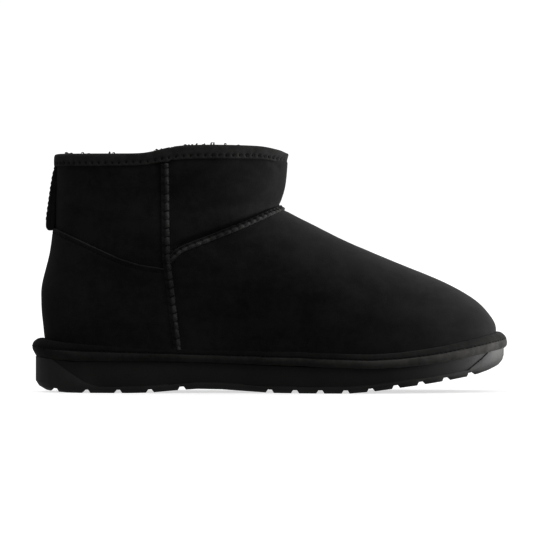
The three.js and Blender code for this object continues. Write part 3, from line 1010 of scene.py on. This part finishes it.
# Its section: mm across from the middle, mm from the middle of its thickness.
STRAP_SECTION = [
    (-8.5, -0.6), (-8.2, -1.25), (-7.4, -1.4), (0, -1.4), (7.4, -1.4), (8.2, -1.25), (8.5, -0.6),
    (8.5, 0.6), (8.2, 1.2), (7.4, STRAP_FACE), (0, STRAP_FACE), (-7.4, STRAP_FACE), (-8.2, 1.2),
    (-8.5, 0.6),
]
STRAP_ROW = 6.9 * MM  # how far its two rows of stitches are from its middle
STITCHED = slice(5, 36, 3)  # the rings of its outer leg that have a stitch


def pull_loop(hide):
    """The folded strap at the back of the collar, with a row of stitches along each edge."""
    low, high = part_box("pull_loop")
    middle = (low.y + high.y) / 2
    surface = surface_of(hide)
    line = []
    for z, out in LOOP_LINE:
        back = surface.ray_cast(Vector((BEHIND, middle, z * MM)), Vector((1, 0, 0)))[0]
        line.append(Vector((back.x - out * MM, middle, z * MM)))
    rings = []
    outer_face = []
    for point, way in stations(line, 1.0 * MM, 0):
        out = Vector((way.z, 0, -way.x))
        rings.append([point + (Vector((0, y, 0)) + out * n) * MM for y, n in STRAP_SECTION])
        outer_face.append((point + out * STRAP_FACE * MM, way, out))
    o = smooth(refine(sweep("pull_loop_strap", rings, closed=False), 1), 60)
    finish_piece(o, SUEDE, "binding", "pull_loop")
    places = []
    for side in (-1, 1):
        for point, way, out in outer_face[STITCHED]:
            turn = Matrix((way, out.cross(way), out)).transposed().to_4x4()
            places.append(Matrix.Translation(point + Vector((0, side * STRAP_ROW, 0))) @ turn)
    row = copies(flat_stitch(length=2.0 * MM, thick=0.5 * MM), "pull_loop_stitches", places)
    finish_piece(row, THREAD, "thread")


# ---------------------------------------------------------------- rand and sole

# The section of the rand: mm out from its widest line, share of its height, and mm it fills out at the toe
# and at the heel, where it is one round bead.
RAND_SECTION = [
    (-9.0, 0.0, 0, 0), (-3.2, 0.0, 0, 0), (-1.9, 0.03, 0, -0.8), (-0.9, 0.10, 0, -1.3),
    (-0.25, 0.20, 0, -1.3), (0.0, 0.33, 0, -0.7), (-0.1, 0.43, 0, -0.1), (-0.45, 0.51, 0.2, 0.4),
    (-0.95, 0.555, 0.5, 0.9), (-1.8, 0.59, 1.0, 1.6), (-1.5, 0.63, 0.8, 1.4), (-1.4, 0.69, 0.5, 1.2),
    (-1.7, 0.77, 0.3, 1.1), (-2.3, 0.85, 0.1, 0.9), (-3.2, 0.93, 0, 0.5), (-4.3, 0.985, 0, 0.2),
    (-5.6, 1.0, 0, 0), (-7.0, 0.95, 0, 0), (-9.0, 0.80, 0, 0),
]
RAND_GROOVE = (-1.7, 0.60)  # the stitched groove: mm out from the widest line, share of the height
RAND_PITCH = 2.9 * MM
RAND_MARGIN = 0.25 * MM  # covers the solid's upper and lower edge
RAND_DEPTH = 8 * MM  # the rand's height is taken from faces no deeper than this behind its widest line
SAG = {"depth": 1.1 * MM, "at": 208 * MM, "half": 55 * MM}  # beside the forefoot it lies lower
GATHER = 0.3  # how much its cover gathers, in mm


def rand_stations(count=420):
    """The rand's widest line as (point, outward, low, high), measured on its solid."""
    surface = surface_of(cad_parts["rand"])
    rows = []
    for turn in np.linspace(0, 2 * math.pi, 721)[:-1]:
        way = Vector((math.cos(turn), math.sin(turn), 0))
        hits = []
        for z in np.arange(12 * MM, 40 * MM, 0.5 * MM):
            hit = surface.ray_cast(Vector((0, 0, z)) + way * RAY, -way)[0]
            if hit and hit.xy.dot(way.xy) > 0:
                hits.append((hit.xy.length, z))
        widest = max(hits)[0]
        near = [z for r, z in hits if r > widest - RAND_DEPTH]
        rows.append((*(way.xy * widest), min(near), max(near)))
    rows = np.array(rows + rows[:1])
    along = np.concatenate([[0], np.cumsum(np.hypot(*np.diff(rows[:, :2], axis=0).T))])
    marks = np.linspace(0, along[-1], count + 1)[:-1]
    co = np.stack([np.interp(marks, along, rows[:, k]) for k in range(4)], 1)
    kernel = np.array([1, 2, 3, 2, 1]) / 9
    for k in range(4):
        co[:, k] = np.convolve(np.concatenate([co[-2:, k], co[:, k], co[:2, k]]), kernel, "valid")
    ahead = np.roll(co, -1, 0) - np.roll(co, 1, 0)
    found = []
    for (x, y, low, high), (dx, dy, _, _) in zip(co, ahead):
        out = Vector((dy, -dx)).normalized()
        sag = SAG["depth"] * bell(x - HEEL - SAG["at"], SAG["half"])
        found.append((Vector((x, y)), out, low - RAND_MARGIN - sag, high + RAND_MARGIN - sag))
    return found


def rand_place(station, out, share):
    """A point of the section at a station: mm out from the widest line, and share of the height."""
    at, outward, low, high = station
    flat = at + outward * out * MM
    return Vector((flat.x, flat.y, low + (high - low) * share))


def rand_wrap():
    """The rand: its section carried round the boot, closed on itself."""
    line = rand_stations()
    rings = []
    for k, station in enumerate(line):
        gather = GATHER * noise.noise(Vector((k * 0.83, 0, 0)))
        toe = blend(station[0].x - HEEL, 250 * MM, 272 * MM)
        heel = 1 - blend(station[0].x - HEEL, 6 * MM, 26 * MM)
        rings.append([
            rand_place(station, out + toe * toe_more + heel * heel_more + gather, share)
            for out, share, toe_more, heel_more in RAND_SECTION
        ])
    o = smooth(refine(sweep("rand_wrap", rings, closed=True), 1))
    finish_piece(o, RAND_SUEDE, "rand_suede", "rand")
    groove = [rand_place(station, *RAND_GROOVE) for station in line + line[:1]]
    places = frames(surface_of(o), stations(groove, RAND_PITCH), lift=0.1 * MM)
    row = copies(flat_stitch(length=2.0 * MM, thick=0.62 * MM), "rand_stitches", places)
    finish_piece(row, THREAD, "thread")


# The bottom layer of the sole, given painted light as if bounced up from the floor, in mm: its height, how
# far above that the middle of a face may lie, and where and how steeply it climbs at the heel and the toe.
LAYER_HEIGHT = 3.6
LAYER_SLACK = 0.2
HEEL_CLIMB = (36, -0.64)
TOE_CLIMB = (256, 0.55)
SPOT = 8 * MM  # the ground under the sole is measured over lengths of this size


def outsole():
    """The sole unit, with its edges rounded. Its bottom layer's faces are marked for painted light from the
    floor.
    """
    o = merged_copy("outsole", "outsole_unit")
    edit(o)
    bpy.ops.mesh.select_all(action="SELECT")
    bpy.ops.mesh.dissolve_limited(angle_limit=math.radians(0.6))
    leave()
    apply(o, "BEVEL", width=0.3 * MM, segments=2, limit_method="ANGLE", angle_limit=math.radians(30))
    smooth(o, 35)
    finish_piece(o, FOAM, "sole", "outsole")
    ground = {}
    for v in o.data.vertices:
        spot = round((v.co.x - HEEL) / SPOT)
        ground[spot] = min(ground.get(spot, 1), v.co.z)
    spots = sorted(ground)
    # the mask for painted light on the faces of the bottom layer
    layer = o.data.attributes.new("bottom_layer_painted_light", "FLOAT", "FACE")
    for face in o.data.polygons:
        x = (face.center.x - HEEL) / MM
        low = np.interp(x, [SPOT / MM * k for k in spots], [ground[k] / MM for k in spots])
        climb = max((x - HEEL_CLIMB[0]) * HEEL_CLIMB[1], (x - TOE_CLIMB[0]) * TOE_CLIMB[1], 0)
        layer.data[face.index].value = float(face.center.z / MM < low + LAYER_HEIGHT + climb + LAYER_SLACK)


# ---------------------------------------------------------------- fleece

LINING_CURL = 1.6 * MM  # how far the curls of the fleece stand up
FOOTBED_CURL = 1.0 * MM


def curls(p):
    """How high the curled surface of the fleece stands at a place, from 0 to 1."""
    return min(max(0.5 + 0.9 * noise.noise(p * 230) + 0.35 * noise.noise(p * 520), 0), 1)


def lining(inner):
    """The fleece on the inside of the upper."""
    o = refine(square_up(inner), 3)
    o.name = "fleece_lining"
    press(o, LINING_CURL, curls)
    smooth(o)
    finish_piece(o, FLEECE, "fleece")
    return o


def footbed():
    """The fleece insole."""
    o = merged_copy("insole", "insole_fleece")
    apply(o, "REMESH", mode="VOXEL", voxel_size=1.5 * MM)
    press(o, FOOTBED_CURL, curls)
    smooth(o)
    finish_piece(o, FLEECE, "fleece", "insole")


LOCK_RINGS = 6


def lock(length, thick, curl):
    """A lock of wool: a tapered, curled strand."""
    bpy.ops.mesh.primitive_cone_add(
        vertices=5,
        radius1=thick,
        radius2=0.3 * thick,
        depth=length,
        location=(0, 0, length / 2),
        end_fill_type="TRIFAN",
    )
    o = bpy.context.object
    bpy.ops.object.transform_apply(location=True)
    edit(o)
    bpy.ops.mesh.select_all(action="SELECT")
    for k in range(1, LOCK_RINGS):
        bpy.ops.mesh.bisect(plane_co=(0, 0, length * k / LOCK_RINGS), plane_no=(0, 0, 1))
        bpy.ops.mesh.select_all(action="SELECT")
    leave()
    apply(o, "SIMPLE_DEFORM", deform_method="BEND", angle=curl, deform_axis="X")
    return smooth(o)


LOCKS = [(4.2, 0.75, 3.2), (3.4, 0.65, 4.6), (4.8, 0.6, -3.9)]  # length and thickness in mm, curl
CLUMP = 11  # locks in a clump
CLUMPS = 120  # clumps of each kind of lock
CLUMP_HALF = 2.2  # half its width, in mm
LEAN = 0.9  # how far a lock leans over, in radians
FULL_TURN = 6.28
TUFT_DEPTH = 20 * MM  # how far below the collar's top they reach


def tufts(lining_piece, binding):
    """Clumps of curled wool that stand out of the lining at the collar, inside its binding."""
    pick = random.Random(11)
    rim = surface_of(binding)
    up_z = Vector((0, 0, 1))
    faces = [
        f for f in lining_piece.data.polygons
        if f.center.z > TOP - TUFT_DEPTH and not rim.ray_cast(f.center + f.normal * 1.2 * MM, up_z)[0]
    ]
    for number, (length, thick, curl) in enumerate(LOCKS, 1):
        spread = []
        for _ in range(CLUMP):
            x = pick.uniform(-CLUMP_HALF, CLUMP_HALF)
            y = pick.uniform(-CLUMP_HALF, CLUMP_HALF)
            foot = Matrix.Translation(Vector((x, y, -0.3)) * MM)
            lean = Matrix.Rotation(pick.uniform(-LEAN, LEAN), 4, "Y")
            turn = Matrix.Rotation(pick.uniform(0, FULL_TURN), 4, "Z")
            spread.append(foot @ turn @ lean @ Matrix.Scale(pick.uniform(0.6, 1.0), 4))
        clump = copies(lock(length * MM, thick * MM, curl), "clump", spread)
        places = []
        for _ in range(CLUMPS):
            f = pick.choice(faces)
            up = (f.normal * 0.8 + Vector((0, 0, 0.6))).normalized()
            stand = up.to_track_quat("Z", "Y").to_matrix().to_4x4()
            size = Matrix.Scale(pick.uniform(0.7, 1.0), 4)
            turn = stand @ Matrix.Rotation(pick.uniform(0, FULL_TURN), 4, "Z")
            places.append(Matrix.Translation(f.center + f.normal * 0.3 * MM) @ turn @ size)
        o = copies(clump, f"fleece_tufts_{number}", places)
        finish_piece(o, FLEECE, "fleece")


outer, inner = shells()
hide = refine(square_up(outer), 2)
plain_form = surface_of(hide)
shape_hide(hide)
hide_panels(hide)
side_seams(plain_form)
vamp_seam(plain_form)
heel_counter(hide)
pull_loop(hide)
bpy.data.objects.remove(hide)
binding = collar()
rand_wrap()
outsole()
tufts(lining(inner), binding)
footbed()
